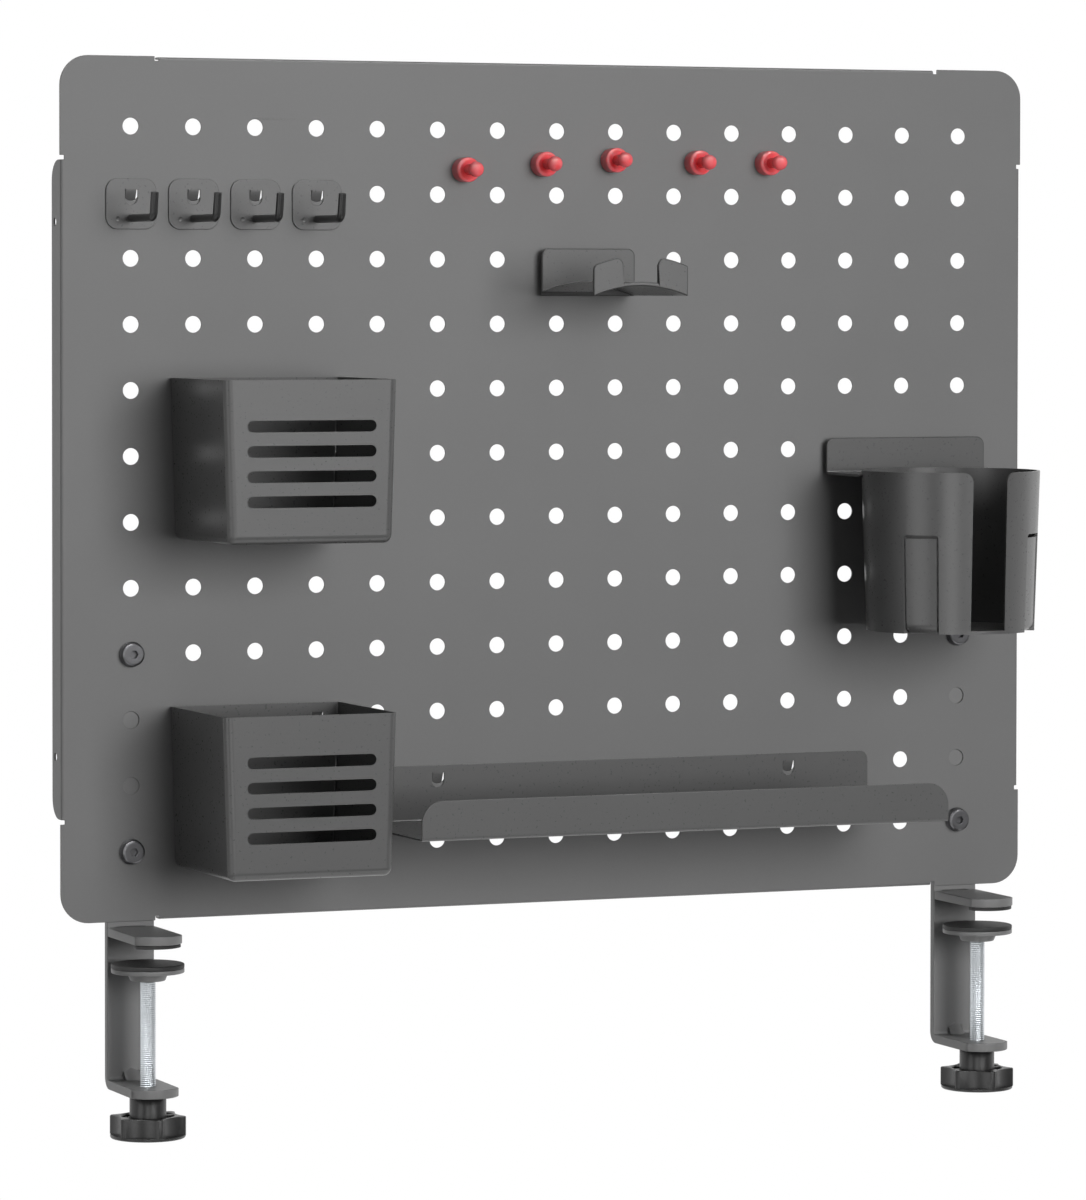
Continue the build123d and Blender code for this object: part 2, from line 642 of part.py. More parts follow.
def build_cup_holder():
    x = column_x(cup_column)
    rim_z = row_z(cup_row) - cup_drop
    base_top_z = rim_z - cup_height
    plate_rear_y = panel_front_y - clip_standoff
    plate_front_y = plate_rear_y - cup_plate_sheet
    plate_top_z = row_z(cup_row) + cup_plate_rise
    axis = Axis((x, -cup_axis_setback, 0), (0, 0, 1))
    top_radius = cup_top_dia / 2
    bottom_radius = cup_bottom_dia / 2
    notch_height = cup_height - finger_notch_drop

    def radial_plane(angle):
        """Upright plane through the cup's axis; angle 0 points at the user, its own x is the radius."""
        turn = radians(angle)
        outward = (sin(turn), -cos(turn), 0)
        return Plane((x, -cup_axis_setback, base_top_z), outward, (-cos(turn), -sin(turn), 0))

    def outer_radius(height):
        return bottom_radius + (top_radius - bottom_radius) * height / cup_height

    # Back plate folded into a shelf at the rim
    with BuildPart() as cup_plate:
        with BuildSketch(front_plane(x, plate_top_z, plate_rear_y)) as upright:
            Rectangle(cup_plate_width, plate_top_z - rim_z + cup_plate_sheet, align=(Align.CENTER, Align.MAX))
            fillet(upright.vertices().group_by(Axis.Y)[-1], cup_plate_radius)
        extrude(amount=cup_plate_sheet)
        with BuildSketch(Plane((x, plate_rear_y, rim_z - cup_plate_sheet))):
            Rectangle(cup_plate_width, cup_shelf_reach, align=(Align.CENTER, Align.MAX))
            with Locations((0, -cup_axis_setback - plate_rear_y)):
                Circle(top_radius + cup_shelf_clearance, mode=Mode.SUBTRACT)
        extrude(amount=cup_plate_sheet)
        bend_outer = edge_across(cup_plate, x, plate_rear_y, rim_z - cup_plate_sheet)
        fillet(bend_outer, cup_bend_radius + cup_plate_sheet)
        fillet(edge_across(cup_plate, x, plate_front_y, rim_z), cup_bend_radius)
    save(cup_plate.part, "cup_back_plate")

    # Tapered wall, open at the front, with a notch on each side for a finger
    with BuildPart() as wall:
        with BuildSketch(radial_plane(0)):
            with BuildLine():
                Polyline(
                    (bottom_radius - cup_wall, 0),
                    (bottom_radius, 0),
                    (top_radius, cup_height),
                    (top_radius - cup_wall, cup_height),
                    close=True,
                )
            make_face()
        revolve(axis=axis)
        with BuildSketch(front_plane(x, base_top_z, -cup_axis_setback)):
            Rectangle(cup_gap_width, cup_height, align=(Align.CENTER, Align.MIN))
            flare_width = cup_gap_width + 2 * cup_gap_radius
            with Locations((0, cup_height - cup_gap_radius)):
                Rectangle(flare_width, cup_gap_radius, align=(Align.CENTER, Align.MIN))
                with GridLocations(flare_width, 1, 2, 1):
                    Circle(cup_gap_radius, mode=Mode.SUBTRACT)
        extrude(amount=cup_top_dia + cup_bottom_dia, mode=Mode.SUBTRACT)
        for direction in (-1, 1):
            with BuildSketch(radial_plane(direction * finger_angle - finger_notch_sweep / 2)):
                Rectangle(cup_top_dia, notch_height, align=(Align.MIN, Align.MIN))
            revolve(axis=axis, revolution_arc=finger_notch_sweep, mode=Mode.SUBTRACT)
        notch_top = base_top_z + notch_height
        notch_edges = wall.edges().filter_by(GeomType.LINE)
        notch_edges = notch_edges.filter_by(lambda edge: abs(edge.center().Z - notch_top) < match_tolerance)
        fillet(notch_edges, finger_notch_radius)
    save(wall.part, "cup_wall")

    # Base disc with two fingers bent up into the notches
    finger_height = notch_height - finger_top_gap
    finger_radius = bottom_radius - finger_inset
    bend_outer = finger_bend_radius + cup_base_thickness
    with BuildPart() as base:
        with BuildSketch(Plane((x, -cup_axis_setback, base_top_z - cup_base_thickness))):
            Circle(bottom_radius)
        extrude(amount=cup_base_thickness)
        for direction in (-1, 1):
            # A sector of the rim makes room for the bend
            with BuildSketch(radial_plane(direction * finger_angle - finger_notch_sweep / 2)):
                with Locations((finger_radius - bend_outer, -cup_base_thickness)):
                    Rectangle(cup_top_dia, cup_base_thickness, align=(Align.MIN, Align.MIN))
            revolve(axis=axis, revolution_arc=finger_notch_sweep, mode=Mode.SUBTRACT)
        for direction in (-1, 1):
            with BuildSketch(radial_plane(direction * finger_angle - finger_sweep / 2)) as section:
                lean = outer_radius(finger_height) - bottom_radius
                with BuildLine():
                    Polyline(
                        (finger_radius - 2 * bend_outer, -cup_base_thickness),
                        (finger_radius, -cup_base_thickness),
                        (finger_radius + lean, finger_height),
                        (finger_radius + lean - cup_wall, finger_height),
                        (finger_radius - cup_wall, 0),
                        (finger_radius - 2 * bend_outer, 0),
                        close=True,
                    )
                make_face()
                outer_corner = section.vertices().sort_by_distance((finger_radius, -cup_base_thickness))[0]
                fillet(outer_corner, bend_outer)
                inner_corner = section.vertices().sort_by_distance((finger_radius - cup_wall, 0))[0]
                fillet(inner_corner, finger_bend_radius)
            revolve(axis=axis, revolution_arc=finger_sweep)
    save(base.part, "cup_base")
    columns = (cup_column - cup_clip_offset, cup_column + cup_clip_offset)
    build_hanger_clips("cup_hanger_clips", columns, cup_row)


def build_magnet(number, x, drop):
    origin = (x, panel_front_y, top_row_z - drop)
    # Half section: its own x is the radius and its own y runs from the panel towards the user
    half_section = Plane(origin, x_dir=(1, 0, 0), z_dir=(0, 0, -1))
    axis = Axis(origin, (0, -1, 0))
    base_radius = magnet_base_dia / 2
    tip_radius = magnet_tip_dia / 2
    neck_radius = magnet_neck_dia / 2
    core_radius = magnet_core_dia / 2
    tip_centre = magnet_length - tip_radius
    neck_top = tip_centre - sqrt(tip_radius**2 - neck_radius**2)
    pocket_radius = core_radius + magnet_core_clearance
    rim_inner = base_radius - magnet_rim_radius
    with BuildPart() as grip:
        with BuildSketch(half_section):
            with BuildLine():
                Polyline(
                    (0, magnet_core_thickness),
                    (pocket_radius, magnet_core_thickness),
                    (pocket_radius, 0),
                    (base_radius, 0),
                    (base_radius, magnet_base_height - magnet_rim_radius),
                )
                RadiusArc(
                    (base_radius, magnet_base_height - magnet_rim_radius),
                    (rim_inner, magnet_base_height),
                    -magnet_rim_radius,
                )
                Polyline(
                    (rim_inner, magnet_base_height),
                    (neck_radius, magnet_base_height - magnet_dish_depth),
                    (neck_radius, neck_top),
                )
                ThreePointArc((neck_radius, neck_top), (tip_radius, tip_centre), (0, magnet_length))
                Line((0, magnet_length), (0, magnet_core_thickness))
            make_face()
        revolve(axis=axis)
    save(grip.part, f"magnet_{number}_grip")
    with BuildPart() as core:
        with BuildSketch(front_plane(x, top_row_z - drop)):
            Circle(core_radius)
        extrude(amount=magnet_core_thickness)
    save(core.part, f"magnet_{number}_core")


os.makedirs("parts", exist_ok=True)
build_panel()
build_bolts()
for clamp_side, clamp_column in clamp_sides:
    clamp_x = column_x(clamp_column)
    build_bracket(clamp_side, clamp_x)
    build_upper_jaw(clamp_side, clamp_x)
    screw_top_z = build_pressure_disc(clamp_side, clamp_x)
    build_screw(clamp_side, clamp_x, screw_top_z)
for hook_number, hook_column in enumerate(hook_columns, start=1):
    build_hook(hook_number, hook_column)
for basket_name, basket_row in zip(("upper_basket", "lower_basket"), basket_rows):
    build_basket(basket_name, basket_row)
build_tray()
build_headset_holder()
build_cup_holder()
for magnet_number, magnet_place in enumerate(magnet_places, start=1):
    build_magnet(magnet_number, *magnet_place)
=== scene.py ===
import json
import math

import bmesh
import bpy
from mathutils import Matrix, Vector


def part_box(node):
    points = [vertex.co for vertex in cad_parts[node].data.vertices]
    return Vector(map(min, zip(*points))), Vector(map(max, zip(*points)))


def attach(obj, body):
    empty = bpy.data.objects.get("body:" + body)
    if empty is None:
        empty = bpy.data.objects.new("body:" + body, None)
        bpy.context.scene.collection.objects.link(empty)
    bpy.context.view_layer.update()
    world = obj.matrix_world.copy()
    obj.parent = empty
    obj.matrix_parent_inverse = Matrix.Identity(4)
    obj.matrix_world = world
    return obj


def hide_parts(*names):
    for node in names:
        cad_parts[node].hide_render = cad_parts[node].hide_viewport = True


# A clamp-on desk pegboard with hooks, baskets, tray, cup and headset holders and push-pin magnets.
# Metres, +X to the user's right, +Y behind the board, +Z up, desk top at Z = 0.

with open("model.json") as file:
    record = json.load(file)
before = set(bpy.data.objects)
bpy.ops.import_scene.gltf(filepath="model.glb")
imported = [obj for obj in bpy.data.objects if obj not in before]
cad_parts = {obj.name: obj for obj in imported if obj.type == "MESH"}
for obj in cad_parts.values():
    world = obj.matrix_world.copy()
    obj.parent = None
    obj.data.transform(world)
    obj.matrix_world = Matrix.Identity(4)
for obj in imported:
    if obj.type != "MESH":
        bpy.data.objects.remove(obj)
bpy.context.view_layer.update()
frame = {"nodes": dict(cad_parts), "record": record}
nodes = frame["nodes"]
MM = 0.001

# Camera, fitted to the peg holes of the photograph
image_size = (1086, 1200)
camera_focal_px = 5718.6
camera_axis_px = 450.0
camera_place = Vector((-1.3921, -3.2906, 0.3973))
camera_yaw = 22.802
camera_pitch = 1.647
camera_roll = 0.065
camera_reach = 50.0
sensor_mm = 36.0

# Studio: the floor, the levels of the dim room, and each lamp by what it gives, angle to the user's right,
# angle of lift, distance, half width and half height in degrees as the board sees them, and brightness
floor_z = -0.72
floor_reach = 1.0
floor_bright = (0.8, 1.0)
floor_fade = (0.35, 0.95)
room_level = 0.06
gloss_level = 0.25
horizon_soft = (-0.25, 0.35)
lamps = {
    "key_softbox": ("light", 10.0, 8.0, 3.0, 13.0, 13.0, 13.5),
    "front_card": ("gloss", 14.0, 12.0, 4.0, 14.0, 14.0, 3.0),
    "camera_card": ("gloss", -23.0, 4.0, 4.2, 9.0, 24.0, 2.6),
    "left_card": ("gloss", -68.0, 4.0, 4.0, 14.0, 24.0, 1.9),
    "right_card": ("gloss", 85.0, 4.0, 4.0, 24.0, 24.0, 0.5),
    "overhead_strip": ("gloss", -12.0, 62.0, 2.0, 40.0, 5.0, 18.0),
    "rear_softbox": ("light", -150.0, 20.0, 3.0, 16.0, 16.0, 4.0),
}

# Deburring: what counts as one point, as flat and as a sharp edge, and how finely the edge is rounded
weld_mm = 0.002
flat_angle = 0.3
sharp_angle = 50.0
deburr_steps = 2
normal_weight = 50

# Shares of a face's normal along an axis: facing it, slanted to it and hardly facing it
facing = 0.9
slanted = 0.3
hardly_facing = 0.2

# Where the tongues with painted shade begin, as a share of the plate's height, and how deep the front edge of
# the saddle with painted shade is
tongue_share = 0.4
front_mm = 1.0

# Thread: the pitch is read in the photograph; the depth is a share of the pitch, shallower than on a real rod
# so that it doesn't flicker at the size of the picture
thread_pitch_mm = 1.25
thread_depth = 0.22
thread_slope = 1.5
thread_root = 0.25
thread_steps = 8
thread_sides = 48
rod_chamfer_mm = 0.8

# Hand knob: hollow flanks between six narrow lobes on a round foot, a recess with ribs round the collar.
# The foot has a radius and a height, the bore a radius and a depth; the ribs run a little into collar and rim
knob_lobes = 6
knob_lobe_mm = 23.2
knob_waist_mm = 18.4
knob_flank_mm = 23.2
knob_lobe_soft_mm = 0.6
knob_foot_mm = (22.8, 2.0)
knob_height_mm = 13.3
knob_rim_mm = 16.0
knob_recess_mm = 5.0
knob_rib_mm = 2.4
knob_collar_mm = 11.1
knob_bore_mm = (5.4, 3.0)
knob_round_mm = 1.2
knob_edge_mm = 0.2
knob_crown_mm = 0.6
knob_rim_round_mm = 0.4
knob_collar_round_mm = 0.5
knob_rib_ends_mm = (1.0, 0.3)
knob_sides = 240

# What the photograph shows a little larger, or further to the left, than the solids: the hook rods on their
# radius and past the start of their bent end, the cup as a whole and the headset holder
rod_thicker_mm = 0.3
rod_longer_mm = 3.0
rod_bend_mm = 12.0
cup_larger = 1.026
headset_left_mm = 1.6

# Width of the saddle between the two tabs of the headset holder, whose front edge there gets painted shade
headset_gap_mm = 23.5

# Finishes: shares of the tone, changes of the roughness, strength of the relief, and sizes of slow changes
noise_low, noise_high = 0.3, 0.7
coat_blend = (0.6, 1.4)
coat_shares = (0.97, 1.03)
coat_gloss = (-0.03, 0.03)
coat_relief = 0.2
film_mm = 55.0
dust_shares = (0.75, 1.35)
dust_mm = 14.0
grit_gloss = (-0.08, 0.06)
grit_relief = 0.4
streak_shares = (0.85, 1.0)
streak_gloss = (0.06, -0.05)
streak_stretch = (0.25, 0.25, 1.0)

# Push pins: reds, roughness, flow marks, and how far light goes into the polystyrene
red_tones = ("#ee545c", "#ff6e74")
red_gloss = (0.06, 0.12)
red_index = 1.59
red_depth_mm = (5.0, 1.5, 1.5)
red_depth_share = 0.9
flow_mm = 6.0


# Materials

def linear(colour):
    """An sRGB hex colour as linear red, green, blue and alpha."""
    channels = [int(colour[i:i + 2], 16) / 255 for i in (1, 3, 5)]
    return [c / 12.92 if c <= 0.04045 else ((c + 0.055) / 1.055) ** 2.4 for c in channels] + [1.0]


def add_node(tree, kind, inputs=None, **settings):
    """A node with its settings, and its sockets linked or set."""
    made = tree.nodes.new(kind)
    for name, value in settings.items():
        setattr(made, name, value)
    for socket, value in (inputs or {}).items():
        if isinstance(value, bpy.types.NodeSocket):
            tree.links.new(value, made.inputs[socket])
        else:
            made.inputs[socket].default_value = value
    return made


def new_material(name):
    """A material and its empty tree of nodes."""
    material = bpy.data.materials.new(name)
    material.use_nodes = True
    material.node_tree.nodes.clear()
    return material, material.node_tree


def per_mm(size_mm):
    """Texture scale that repeats at a size in millimetres."""
    return 1 / (size_mm * MM)


def powder_coated_steel(name, colour, roughness, peel_mm, peel_depth_mm):
    """Polyester powder baked on sheet steel: it flows into a faint orange peel, so the sheen is soft."""
    material, tree = new_material(name)
    place = add_node(tree, "ShaderNodeTexCoord").outputs["Object"]
    peel = add_node(
        tree, "ShaderNodeTexNoise", {"Vector": place, "Scale": per_mm(peel_mm), "Detail": 2.0}
    ).outputs["Fac"]
    film = add_node(
        tree, "ShaderNodeTexNoise", {"Vector": place, "Scale": per_mm(film_mm), "Detail": 1.0}
    ).outputs["Fac"]
    blend = add_node(tree, "ShaderNodeMath", {0: peel, 1: film}, operation="ADD").outputs["Value"]
    cover = add_node(
        tree, "ShaderNodeMapRange", {"Value": blend, "From Min": coat_blend[0], "From Max": coat_blend[1]}
    ).outputs["Result"]
    tone = add_node(tree, "ShaderNodeValToRGB", {"Fac": cover})
    for stop, share in zip(tone.color_ramp.elements, coat_shares):
        stop.color = [c * share for c in linear(colour)[:3]] + [1.0]
    sheen = add_node(
        tree, "ShaderNodeMapRange",
        {"Value": peel, "From Min": noise_low, "From Max": noise_high,
         "To Min": roughness + coat_gloss[0], "To Max": roughness + coat_gloss[1]},
    ).outputs["Result"]
    shader = add_node(
        tree, "ShaderNodeBsdfPrincipled", {"Base Color": tone.outputs["Color"], "Roughness": sheen}
    )
    if peel_depth_mm:
        bump = add_node(
            tree, "ShaderNodeBump",
            {"Height": peel, "Strength": coat_relief, "Distance": peel_depth_mm * MM},
        ).outputs["Normal"]
        tree.links.new(bump, shader.inputs["Normal"])
    add_node(tree, "ShaderNodeOutputMaterial", {"Surface": shader.outputs["BSDF"]})
    return material


def moulded_black(name, colour, roughness, grit_mm, grit_depth_mm):
    """Rubber or nylon from a spark-eroded mould: near black, with a fine grit that breaks up the gloss."""
    material, tree = new_material(name)
    place = add_node(tree, "ShaderNodeTexCoord").outputs["Object"]
    grit = add_node(
        tree, "ShaderNodeTexNoise", {"Vector": place, "Scale": per_mm(grit_mm), "Detail": 3.0}
    ).outputs["Fac"]
    dust = add_node(
        tree, "ShaderNodeTexNoise", {"Vector": place, "Scale": per_mm(dust_mm), "Detail": 2.0}
    ).outputs["Fac"]
    tone = add_node(tree, "ShaderNodeValToRGB", {"Fac": dust})
    for stop, share in zip(tone.color_ramp.elements, dust_shares):
        stop.color = [c * share for c in linear(colour)[:3]] + [1.0]
    dull = add_node(
        tree, "ShaderNodeMapRange",
        {"Value": grit, "From Min": noise_low, "From Max": noise_high,
         "To Min": roughness + grit_gloss[0], "To Max": roughness + grit_gloss[1]},
    ).outputs["Result"]
    bump = add_node(
        tree, "ShaderNodeBump",
        {"Height": grit, "Strength": grit_relief, "Distance": grit_depth_mm * MM},
    ).outputs["Normal"]
    shader = add_node(
        tree, "ShaderNodeBsdfPrincipled",
        {"Base Color": tone.outputs["Color"], "Roughness": dull, "Normal": bump},
    )
    add_node(tree, "ShaderNodeOutputMaterial", {"Surface": shader.outputs["BSDF"]})
    return material


def plated_metal(name, colour, roughness, streak_mm):
    """Electroplated steel: bright, with fine streaks round the turned part and a slightly cloudy gloss."""
    material, tree = new_material(name)
    place = add_node(tree, "ShaderNodeTexCoord").outputs["Object"]
    drawn = add_node(
        tree, "ShaderNodeMapping", {"Vector": place, "Scale": streak_stretch}
    ).outputs["Vector"]
    streak = add_node(
        tree, "ShaderNodeTexNoise", {"Vector": drawn, "Scale": per_mm(streak_mm), "Detail": 3.0}
    ).outputs["Fac"]
    tone = add_node(tree, "ShaderNodeValToRGB", {"Fac": streak})
    for stop, share in zip(tone.color_ramp.elements, streak_shares):
        stop.color = [c * share for c in linear(colour)[:3]] + [1.0]
    gloss = add_node(
        tree, "ShaderNodeMapRange",
        {"Value": streak, "From Min": noise_low, "From Max": noise_high,
         "To Min": roughness + streak_gloss[0], "To Max": roughness + streak_gloss[1]},
    ).outputs["Result"]
    shader = add_node(
        tree, "ShaderNodeBsdfPrincipled",
        {"Base Color": tone.outputs["Color"], "Roughness": gloss, "Metallic": 1.0},
    )
    add_node(tree, "ShaderNodeOutputMaterial", {"Surface": shader.outputs["BSDF"]})
    return material


def glossy_red_plastic():
    """Polystyrene moulded in a polished tool: light goes into the red; high gloss, few flow marks."""
    material, tree = new_material("red_polystyrene_polished_mould")
    place = add_node(tree, "ShaderNodeTexCoord").outputs["Object"]
    flow = add_node(
        tree, "ShaderNodeTexNoise", {"Vector": place, "Scale": per_mm(flow_mm), "Detail": 2.0}
    ).outputs["Fac"]
    tone = add_node(tree, "ShaderNodeValToRGB", {"Fac": flow})
    for stop, red in zip(tone.color_ramp.elements, red_tones):
        stop.color = linear(red)
    gloss = add_node(
        tree, "ShaderNodeMapRange",
        {"Value": flow, "From Min": noise_low, "From Max": noise_high,
         "To Min": red_gloss[0], "To Max": red_gloss[1]},
    ).outputs["Result"]
    shader = add_node(
        tree, "ShaderNodeBsdfPrincipled",
        {"Base Color": tone.outputs["Color"], "Roughness": gloss, "IOR": red_index,
         "Subsurface Weight": red_depth_share, "Subsurface Scale": 1.0,
         "Subsurface Radius": [depth * MM for depth in red_depth_mm]},
    )
    add_node(tree, "ShaderNodeOutputMaterial", {"Surface": shader.outputs["BSDF"]})
    return material


# The orange peel is really about 0.8 mm across; it is drawn coarser so that it shows, and without relief on
# the sheet of the accessories, whose gloss is smooth in the photograph
materials = {
    "panel_powder_coat": powder_coated_steel("grey_polyester_powder_coat_matt", "#666666", 0.45, 1.5, 0.01),
    "clamp_powder_coat": powder_coated_steel("grey_polyester_powder_coat_strip", "#6e6e6e", 0.42, 1.5, 0.015),
    "accessory_powder_coat": powder_coated_steel(
        "grey_polyester_powder_coat_satin", "#505050", 0.3, 1.8, 0.0
    ),
    "hook_rod_coat": powder_coated_steel("black_polyester_powder_coat_rod", "#222222", 0.32, 1.8, 0.01),
    "bolt_black_coat": plated_metal("black_zinc_plated_steel", "#707072", 0.36, 1.5),
    "black_rubber": moulded_black("nitrile_rubber_moulded", "#1c1c1c", 0.6, 1.2, 0.02),
    "black_plastic": moulded_black("glass_filled_nylon_moulded", "#1e1e1e", 0.36, 1.2, 0.012),
    "zinc_plated_steel": plated_metal("zinc_plated_steel_rolled_thread", "#d0d5d9", 0.38, 6.0),
    "red_plastic": glossy_red_plastic(),
    "magnet_steel": plated_metal("nickel_plated_magnet", "#b8b2a8", 0.2, 1.5),
}
# Painted shade: a thin dark coat on the rounded edges of the headset holder and the cup's back plate, and on
# the saddle's front edge, stands in for the shade that falls on those edges
edge_shade_coat = powder_coated_steel("grey_painted_edge_shade", "#2b2b2b", 0.4, 1.8, 0.006)
record = frame["record"]
slot_of = {part["node"]: part["material_slot"] for part in record["subparts"]}
body_of = {node: body for body, members in record["behaviour"]["bodies"].items() for node in members}
for name, piece in nodes.items():
    piece.data.materials.clear()
    piece.data.materials.append(materials[slot_of[name]])


# Pieces

def dress(piece, node, second=None):
    """Hand a new piece its finish and its body, in the place of a CAD node."""
    piece.data.materials.clear()
    piece.data.materials.append(materials[slot_of[node]])
    if second:
        piece.data.materials.append(second)
    bpy.context.scene.collection.objects.link(piece)
    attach(piece, body_of[node])
    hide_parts(node)


def paint_tongue_shade(shape, node):
    """Paint shade on the tongues that are bent back through the peg holes, with the second, black coat."""
    low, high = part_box(node)
    upper = low.z + tongue_share * (high.z - low.z)
    bent = [
        face for face in shape.faces
        if abs(face.normal.x) < hardly_facing and min(abs(face.normal.y), abs(face.normal.z)) > slanted
        and face.calc_center_median().z > upper
    ]
    for face in bent:
        face.material_index = 1
        for edge in face.edges:
            for beside in edge.link_faces:
                if abs(beside.normal.x) > facing:
                    beside.material_index = 1


def paint_saddle_edge_shade(shape, node):
    """Paint shade on the front edge of the saddle between the two tabs, with the second, dark coat."""
    low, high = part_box(node)
    middle = (low.x + high.x) / 2
    half = headset_gap_mm / 2 * MM
    for side in (-1, 1):
        bmesh.ops.bisect_plane(
            shape, geom=shape.verts[:] + shape.edges[:] + shape.faces[:], plane_no=(1, 0, 0),
            plane_co=(middle + side * half, 0, 0),
        )
    shape.normal_update()
    for face in shape.faces:
        centre = face.calc_center_median()
        in_front = face.normal.y < -facing and centre.y < low.y + front_mm * MM
        if in_front and abs(centre.x - middle) < half:
            face.material_index = 1


def welded(node):
    """The node's own shape to work on, with its split corners welded."""
    shape = bmesh.new()
    shape.from_mesh(nodes[node].data)
    bmesh.ops.remove_doubles(shape, verts=shape.verts, dist=weld_mm * MM)
    return shape


def smooth_mesh(shape, name):
    """A smooth mesh of the worked shape, with the CAD's own normals left behind."""
    mesh = bpy.data.meshes.new(name)
    shape.to_mesh(mesh)
    shape.free()
    if "custom_normal" in mesh.attributes:
        mesh.attributes.remove(mesh.attributes["custom_normal"])
    mesh.shade_smooth()
    return mesh


def deburred(node, radius_mm):
    """The node's own shape with its sharp edges rounded, as deburred and coated sheet edges are."""
    shape = welded(node)
    bmesh.ops.dissolve_limit(
        shape, angle_limit=math.radians(flat_angle), verts=shape.verts, edges=shape.edges
    )
    second = None
    if node == "headset_holder":
        # Painted shade on the saddle's front edge between the tabs
        paint_saddle_edge_shade(shape, node)
        bmesh.ops.translate(shape, verts=shape.verts, vec=(-headset_left_mm * MM, 0, 0))
    if node in tongued:
        shape.normal_update()
        paint_tongue_shade(shape, node)
        # Painted shade: the tongues take the black rod coat in place of the shade inside the peg holes
        second = materials["hook_rod_coat"]
    # The second coat of these parts is painted edge shade
    if node in edge_shaded_parts:
        second = edge_shade_coat
    piece = bpy.data.objects.new(node + "_deburred", smooth_mesh(shape, node + "_deburred"))
    edge = piece.modifiers.new("deburr", "BEVEL")
    edge.width = radius_mm * MM
    edge.segments = deburr_steps
    edge.limit_method = "ANGLE"
    edge.angle_limit = math.radians(sharp_angle)
    edge.use_clamp_overlap = False
    # Painted shade: the rounded edges take the dark second coat
    if node in edge_shaded_parts:
        edge.material = 1
    flow = piece.modifiers.new("flow", "WEIGHTED_NORMAL")
    flow.mode = "FACE_AREA"
    flow.weight = normal_weight
    dress(piece, node, second)


def photographed_rod(node):
    """A hook rod as thick and as long as the photograph shows it."""
    bend_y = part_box(node)[0].y + rod_bend_mm * MM
    shape = welded(node)
    shape.normal_update()
    for point in shape.verts:
        bent = point.co.y < bend_y
        point.co += point.normal * rod_thicker_mm * MM
        if bent:
            point.co.y -= rod_longer_mm * MM
    mesh = smooth_mesh(shape, node + "_bent")
    mesh.set_sharp_from_angle(angle=math.radians(sharp_angle))
    dress(bpy.data.objects.new(node + "_bent", mesh), node)


def photographed_cup(node):
    """A piece of the cup as large as the photograph shows it, standing on its shelf at the back plate."""
    wall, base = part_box("cup_wall"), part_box("cup_base")
    foot = Vector(((wall[0].x + wall[1].x) / 2, wall[1].y, base[0].z))
    mesh = nodes[node].data.copy()
    for point in mesh.vertices:
        point.co = foot + (point.co - foot) * cup_larger
    dress(bpy.data.objects.new(node + "_rolled", mesh), node)


def ring_faces(rings, sides):
    """Faces that join rings of points, each to the next, and a cap on the first ring."""
    faces = []
    for ring in range(rings - 1):
        a, b = ring * sides, (ring + 1) * sides
        for side in range(sides):
            after = (side + 1) % sides
            faces.append((a + side, a + after, b + after, b + side))
    faces.append(tuple(reversed(range(sides))))
    return faces


def knob_flank(angle):
    """Radius of the knob's body: hollow flanks that meet in narrow lobes, with the corners softened."""
    away = (angle + math.pi / knob_lobes) % (2 * math.pi / knob_lobes) - math.pi / knob_lobes
    centre = knob_waist_mm + knob_flank_mm
    inside = max(0.0, knob_flank_mm ** 2 - (centre * math.sin(away)) ** 2)
    hollow = centre * math.cos(away) - math.sqrt(inside)
    blend = max(0.0, knob_lobe_soft_mm - abs(hollow - knob_lobe_mm)) / knob_lobe_soft_mm
    return min(hollow, knob_lobe_mm) - blend ** 2 * knob_lobe_soft_mm / 4


